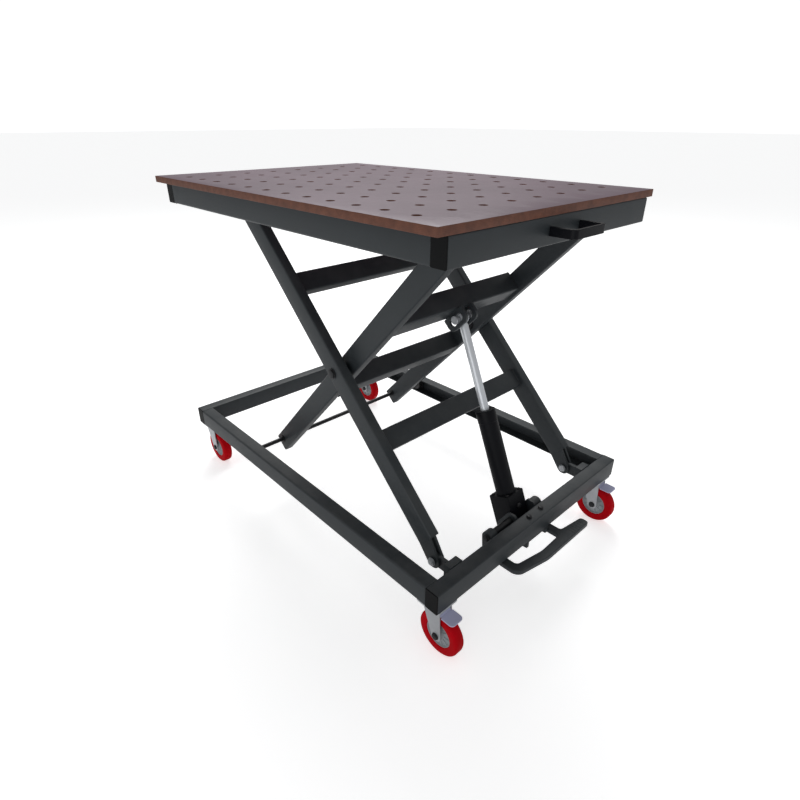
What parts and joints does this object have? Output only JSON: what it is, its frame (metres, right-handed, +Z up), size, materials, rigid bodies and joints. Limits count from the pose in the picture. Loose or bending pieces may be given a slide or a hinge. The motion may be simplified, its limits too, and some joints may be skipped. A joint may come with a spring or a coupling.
{
  "type": "scissor lift table",
  "caption": "Rolling scissor lift table: perforated board on a steel frame, crossed arms, foot-pumped cylinder, swivel casters, pull handle and foot pedal.",
  "frame": {"origin": "centre of the outline on the floor under the wheels", "axes": "+X along the table to the pedal and handle end, +Y across it, +Z up"},
  "size_m": [1.312, 0.824, 1.0278],
  "materials": {
    "frame_paint": "satin anthracite powder coat",
    "black_paint": "satin black",
    "black_plastic": "moulded plug",
    "roller_nylon": "turned nylon",
    "board_ply": "film-faced board",
    "chrome_rod": "hard chrome",
    "zinc": "bright zinc plate",
    "red_wheel": "polyurethane tread on a grey core"
  },
  "bodies": {
    "base": {"base_rail_near": "frame_paint", "base_rail_far": "frame_paint", "base_crossbar_front": "frame_paint", "base_crossbar_rear": "frame_paint", "base_lug_near": "frame_paint", "base_lug_far": "frame_paint", "pump_saddle": "frame_paint", "foot_pin": "zinc", "base_plug_front_near": "black_plastic", "base_plug_front_far": "black_plastic", "base_plug_rear_near": "black_plastic", "base_plug_rear_far": "black_plastic", "caster_plate_front_near": "zinc", "caster_plate_front_far": "zinc", "caster_plate_rear_near": "zinc", "caster_plate_rear_far": "zinc"},
    "outer_arms": {"outer_arm_near": "frame_paint", "outer_arm_far": "frame_paint", "outer_beam_low": "frame_paint", "outer_beam_high": "frame_paint", "centre_pin_near": "zinc", "centre_pin_far": "zinc", "top_axle": "zinc"},
    "inner_arms": {"inner_arm_near": "frame_paint", "inner_arm_far": "frame_paint", "inner_beam_low": "frame_paint", "inner_beam_high": "frame_paint", "rod_ear_near": "frame_paint", "rod_ear_far": "frame_paint", "low_axle": "zinc"},
    "top": {"board": "board_ply", "top_rail_near": "frame_paint", "top_rail_far": "frame_paint", "top_beam_front": "frame_paint", "top_beam_rear": "frame_paint", "handle": "black_paint", "top_plug_front_near": "black_plastic", "top_plug_front_far": "black_plastic", "top_plug_rear_near": "black_plastic", "top_plug_rear_far": "black_plastic"},
    "cylinder": {"pump_block": "black_paint", "cylinder_tube": "black_paint"},
    "rod": {"piston_rod": "chrome_rod", "rod_pin": "zinc"},
    "pedal": {"pedal": "frame_paint"},
    "top_roller_near": {"top_roller_near": "roller_nylon"},
    "base_roller_near": {"base_roller_near": "roller_nylon"},
    "top_roller_far": {"top_roller_far": "roller_nylon"},
    "base_roller_far": {"base_roller_far": "roller_nylon"},
    "caster_front_near": {"caster_fork_front_near": "zinc"},
    "wheel_front_near": {"caster_wheel_front_near": "red_wheel"},
    "brake_near": {"caster_brake_front_near": "zinc"},
    "caster_front_far": {"caster_fork_front_far": "zinc"},
    "wheel_front_far": {"caster_wheel_front_far": "red_wheel"},
    "brake_far": {"caster_brake_front_far": "zinc"},
    "caster_rear_near": {"caster_fork_rear_near": "zinc"},
    "wheel_rear_near": {"caster_wheel_rear_near": "red_wheel"},
    "caster_rear_far": {"caster_fork_rear_far": "zinc"},
    "wheel_rear_far": {"caster_wheel_rear_far": "red_wheel"}
  },
  "joints": [
    {"name": "lift", "type": "hinge", "parent": "base", "child": "outer_arms", "pos_m": [0.4838, 0, 0.19], "axis": [0, 1, 0], "range_deg": [-27.8, 2.1]},
    {"name": "inner_turn", "type": "hinge", "parent": "outer_arms", "child": "inner_arms", "pos_m": [0.10082, 0, 0.58475], "axis": [0, 1, 0], "range_deg": [-4.4, 55.8]},
    {"name": "top_level", "type": "hinge", "parent": "inner_arms", "child": "top", "pos_m": [0.4838, 0, 0.9795], "axis": [0, 1, 0], "range_deg": [-28, 2.3]},
    {"name": "cylinder_tilt", "type": "hinge", "parent": "base", "child": "cylinder", "pos_m": [0.5098, 0, 0.1475], "axis": [0, 1, 0], "range_deg": [-29.5, 2.5]},
    {"name": "rod_slide", "type": "slide", "parent": "cylinder", "child": "rod", "axis": [-0.3919, 0, 0.92], "range_m": [-0.1995, 0.0155]},
    {"name": "pedal_press", "type": "hinge", "parent": "base", "child": "pedal", "pos_m": [0.5288, 0, 0.1955], "axis": [0, 1, 0], "range_deg": [0, 20], "stiffness_Nm_per_rad": 8, "springref_deg": -25.78},
    {"name": "top_roller_spin_near", "type": "hinge", "parent": "outer_arms", "child": "top_roller_near", "pos_m": [-0.28216, -0.3525, 0.9795], "axis": [0, 1, 0], "continuous": true},
    {"name": "base_roller_spin_near", "type": "hinge", "parent": "inner_arms", "child": "base_roller_near", "pos_m": [-0.28216, -0.3895, 0.19], "axis": [0, 1, 0], "continuous": true},
    {"name": "top_roller_spin_far", "type": "hinge", "parent": "outer_arms", "child": "top_roller_far", "pos_m": [-0.28216, 0.3525, 0.9795], "axis": [0, 1, 0], "continuous": true},
    {"name": "base_roller_spin_far", "type": "hinge", "parent": "inner_arms", "child": "base_roller_far", "pos_m": [-0.28216, 0.3895, 0.19], "axis": [0, 1, 0], "continuous": true},
    {"name": "swivel_front_near", "type": "hinge", "parent": "base", "child": "caster_front_near", "pos_m": [0.5558, -0.372, 0.15], "axis": [0, 0, 1], "continuous": true},
    {"name": "roll_front_near", "type": "hinge", "parent": "caster_front_near", "child": "wheel_front_near", "pos_m": [0.5758, -0.372, 0.0625], "axis": [0, 1, 0], "continuous": true},
    {"name": "brake_press_near", "type": "hinge", "parent": "caster_front_near", "child": "brake_near", "pos_m": [0.5823, -0.372, 0.1325], "axis": [0, 1, 0], "range_deg": [0, 10]},
    {"name": "swivel_front_far", "type": "hinge", "parent": "base", "child": "caster_front_far", "pos_m": [0.5558, 0.372, 0.15], "axis": [0, 0, 1], "continuous": true},
    {"name": "roll_front_far", "type": "hinge", "parent": "caster_front_far", "child": "wheel_front_far", "pos_m": [0.5758, 0.372, 0.0625], "axis": [0, 1, 0], "continuous": true},
    {"name": "brake_press_far", "type": "hinge", "parent": "caster_front_far", "child": "brake_far", "pos_m": [0.5823, 0.372, 0.1325], "axis": [0, 1, 0], "range_deg": [0, 10]},
    {"name": "swivel_rear_near", "type": "hinge", "parent": "base", "child": "caster_rear_near", "pos_m": [-0.6118, -0.372, 0.15], "axis": [0, 0, 1], "continuous": true},
    {"name": "roll_rear_near", "type": "hinge", "parent": "caster_rear_near", "child": "wheel_rear_near", "pos_m": [-0.5918, -0.372, 0.0625], "axis": [0, 1, 0], "continuous": true},
    {"name": "swivel_rear_far", "type": "hinge", "parent": "base", "child": "caster_rear_far", "pos_m": [-0.6118, 0.372, 0.15], "axis": [0, 0, 1], "continuous": true},
    {"name": "roll_rear_far", "type": "hinge", "parent": "caster_rear_far", "child": "wheel_rear_far", "pos_m": [-0.5918, 0.372, 0.0625], "axis": [0, 1, 0], "continuous": true}
  ],
  "couplings": [
    {"joint": "inner_turn", "follows": "lift", "ratio": -2},
    {"joint": "top_level", "follows": "lift", "ratio": 1},
    {"joint": "cylinder_tilt", "follows": "lift", "ratio": 1.0515},
    {"joint": "rod_slide", "follows": "lift", "m_per_rad": 0.409}
  ]
}
